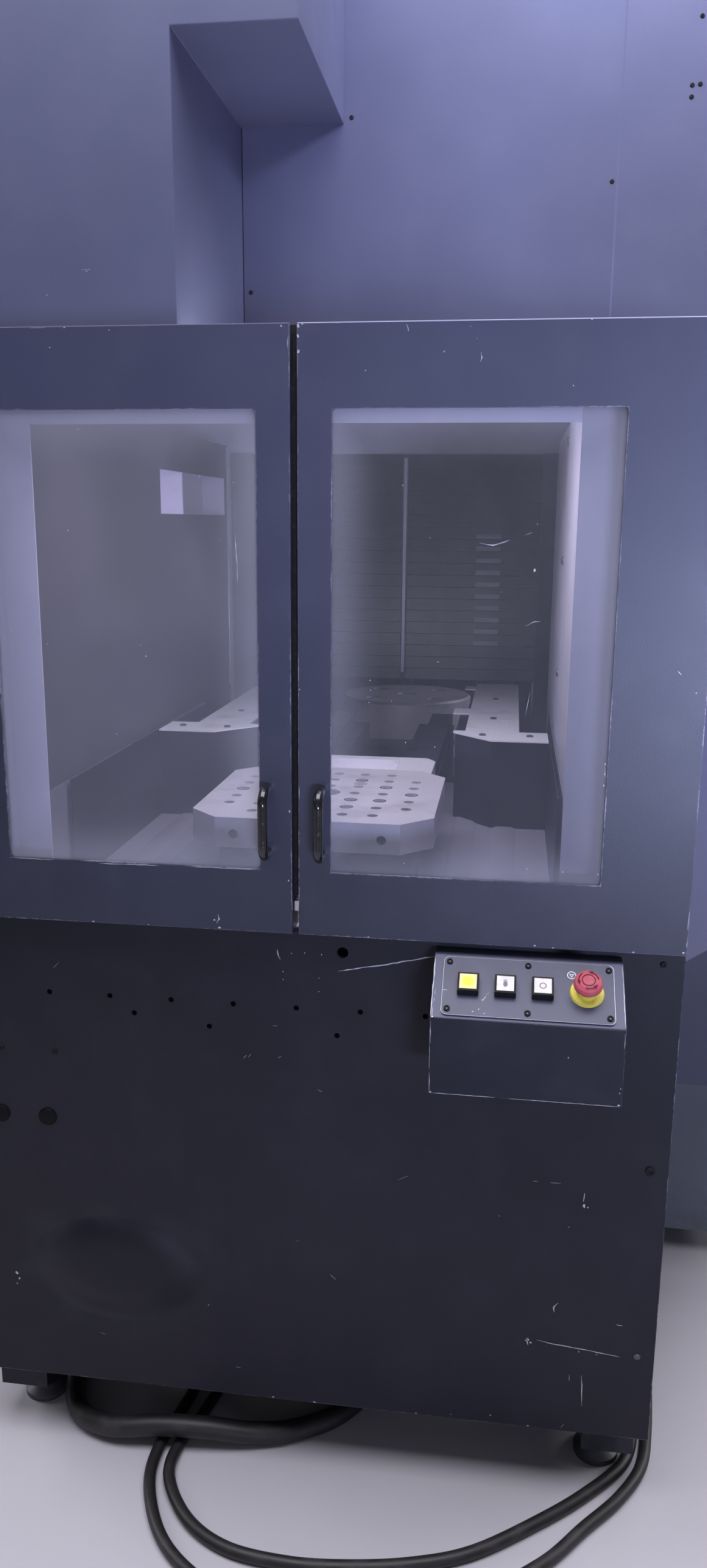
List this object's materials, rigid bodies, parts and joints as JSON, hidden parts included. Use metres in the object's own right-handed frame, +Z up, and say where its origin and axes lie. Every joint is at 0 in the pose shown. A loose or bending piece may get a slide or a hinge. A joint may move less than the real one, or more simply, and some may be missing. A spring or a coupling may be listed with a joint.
{
  "type": "horizontal machining centre",
  "caption": "Horizontal machining centre with a pallet loading station behind two windowed doors, a lamella shutter, a rotary table, a travelling column and a tool magazine.",
  "frame": {"origin": "on the floor under the middle of the footprint of the machine without its hoses", "axes": "+X to the right along the loading doors, +Y from the loading doors into the machine, +Z up"},
  "size_m": [2.21, 4.375, 2.69],
  "materials": {
    "dark_paint": "satin powder coat, dark blue grey",
    "black_sheet": "satin powder coat, near black",
    "light_sheet": "light grey paint",
    "castings": "painted casting",
    "machined": "machined steel",
    "black_plastic": "moulded black plastic",
    "handle_black": "glossy black",
    "hose_rubber": "black rubber",
    "pane": "clear safety pane",
    "yellow_plastic": "signal yellow",
    "white_plastic": "white lens",
    "red_plastic": "signal red",
    "feet_steel": "blackened steel"
  },
  "bodies": {
    "machine": {"bed_casting": "castings", "levelling_feet": "feet_steel", "station_frame": "black_sheet", "front_skirt": "black_sheet", "front_portal": "light_sheet", "left_inner_wall": "black_sheet", "right_inner_wall": "light_sheet", "bay_guards": "black_sheet", "rail_covers": "machined", "magazine_bridge": "castings", "station_pedestal": "castings", "chip_tray": "light_sheet", "flared_panels": "dark_paint", "front_wall_panels": "dark_paint", "hood_housing": "dark_paint", "side_panels": "dark_paint", "roof_panel": "dark_paint", "rear_panel": "dark_paint", "partition_panel": "light_sheet", "guide_rails": "machined", "electrical_cabinet": "dark_paint", "coolant_tank": "castings", "chip_conveyor": "dark_paint", "button_box": "dark_paint", "button_plate": "dark_paint", "button_bezels": "black_plastic", "stop_collar": "yellow_plastic", "blank_plugs": "black_plastic", "hose_glands": "feet_steel", "control_housing": "dark_paint", "hinge_pins": "feet_steel", "door_lock": "machined", "inner_loop_hose": "hose_rubber", "outer_loop_hose": "hose_rubber", "drain_hose": "hose_rubber"},
    "right_door": {"right_door": "dark_paint", "right_window": "pane", "right_handle": "handle_black"},
    "left_door": {"left_door": "dark_paint", "left_window": "pane", "left_handle": "handle_black"},
    "pallet_shuttle": {"pallet": "machined", "shuttle_head": "machined"},
    "shutter": {"shutter": "black_sheet"},
    "table_saddle": {"table_saddle": "castings"},
    "rotary_table": {"rotary_table": "machined"},
    "column": {"column": "castings"},
    "spindle_head": {"spindle_head": "castings"},
    "spindle": {"spindle": "machined"},
    "magazine_carriage": {"magazine_carriage": "castings"},
    "tool_magazine": {"magazine_disc": "machined", "tool_holders": "machined"},
    "yellow_button": {"yellow_button": "yellow_plastic"},
    "hand_button": {"hand_button": "white_plastic"},
    "ring_button": {"ring_button": "white_plastic"},
    "stop_button": {"stop_button": "red_plastic"},
    "operator_door": {"operator_door": "dark_paint", "operator_window": "pane"},
    "cabinet_door": {"cabinet_door": "dark_paint"},
    "main_switch": {"main_switch": "red_plastic"}
  },
  "joints": [
    {"name": "right_door_hinge", "type": "hinge", "parent": "machine", "child": "right_door", "pos_m": [0.49, -1.9965, 1.3895], "axis": [0, 0, 1], "range_deg": [0, 105]},
    {"name": "left_door_hinge", "type": "hinge", "parent": "machine", "child": "left_door", "pos_m": [-0.6, -1.9965, 1.3895], "axis": [0, 0, -1], "range_deg": [0, 105]},
    {"name": "pallet_transfer", "type": "slide", "parent": "machine", "child": "pallet_shuttle", "axis": [0, 1, 0], "range_m": [0, 1.533]},
    {"name": "shutter_lift", "type": "slide", "parent": "machine", "child": "shutter", "axis": [0, 0, 1], "range_m": [0, 0.56]},
    {"name": "table_feed", "type": "slide", "parent": "machine", "child": "table_saddle", "axis": [0, 1, 0], "range_m": [0, 0.5]},
    {"name": "table_turn", "type": "hinge", "parent": "table_saddle", "child": "rotary_table", "pos_m": [-0.069, -0.1165, 0.95], "axis": [0, 0, 1], "continuous": true},
    {"name": "column_feed", "type": "slide", "parent": "machine", "child": "column", "axis": [1, 0, 0], "range_m": [-0.28, 0.28]},
    {"name": "head_lift", "type": "slide", "parent": "column", "child": "spindle_head", "axis": [0, 0, 1], "range_m": [0, 0.5]},
    {"name": "spindle_turn", "type": "hinge", "parent": "spindle_head", "child": "spindle", "pos_m": [-0.069, 0.6585, 1.205], "axis": [0, 1, 0], "continuous": true},
    {"name": "magazine_advance", "type": "slide", "parent": "machine", "child": "magazine_carriage", "axis": [0, 1, 0], "range_m": [0, 0.11]},
    {"name": "magazine_turn", "type": "hinge", "parent": "magazine_carriage", "child": "tool_magazine", "pos_m": [-0.069, 0.4105, 1.985], "axis": [0, 1, 0], "continuous": true},
    {"name": "yellow_button_press", "type": "slide", "parent": "machine", "child": "yellow_button", "axis": [0, 0.559, -0.8292], "range_m": [0, 0.003], "stiffness_N_per_m": 600, "springref_m": -0.002},
    {"name": "hand_button_press", "type": "slide", "parent": "machine", "child": "hand_button", "axis": [0, 0.559, -0.8292], "range_m": [0, 0.003], "stiffness_N_per_m": 600, "springref_m": -0.002},
    {"name": "ring_button_press", "type": "slide", "parent": "machine", "child": "ring_button", "axis": [0, 0.559, -0.8292], "range_m": [0, 0.003], "stiffness_N_per_m": 600, "springref_m": -0.002},
    {"name": "stop_button_press", "type": "slide", "parent": "machine", "child": "stop_button", "axis": [0, 0.559, -0.8292], "range_m": [0, 0.005]},
    {"name": "operator_door_slide", "type": "slide", "parent": "machine", "child": "operator_door", "axis": [0, 1, 0], "range_m": [0, 0.7]},
    {"name": "cabinet_door_hinge", "type": "hinge", "parent": "machine", "child": "cabinet_door", "pos_m": [0.981, 2.0845, 1.275], "axis": [0, 0, -1], "range_deg": [0, 110]},
    {"name": "main_switch_turn", "type": "hinge", "parent": "cabinet_door", "child": "main_switch", "pos_m": [0.127, 2.0935, 1.7], "axis": [0, 1, 0], "range_deg": [0, 90]}
  ]
}
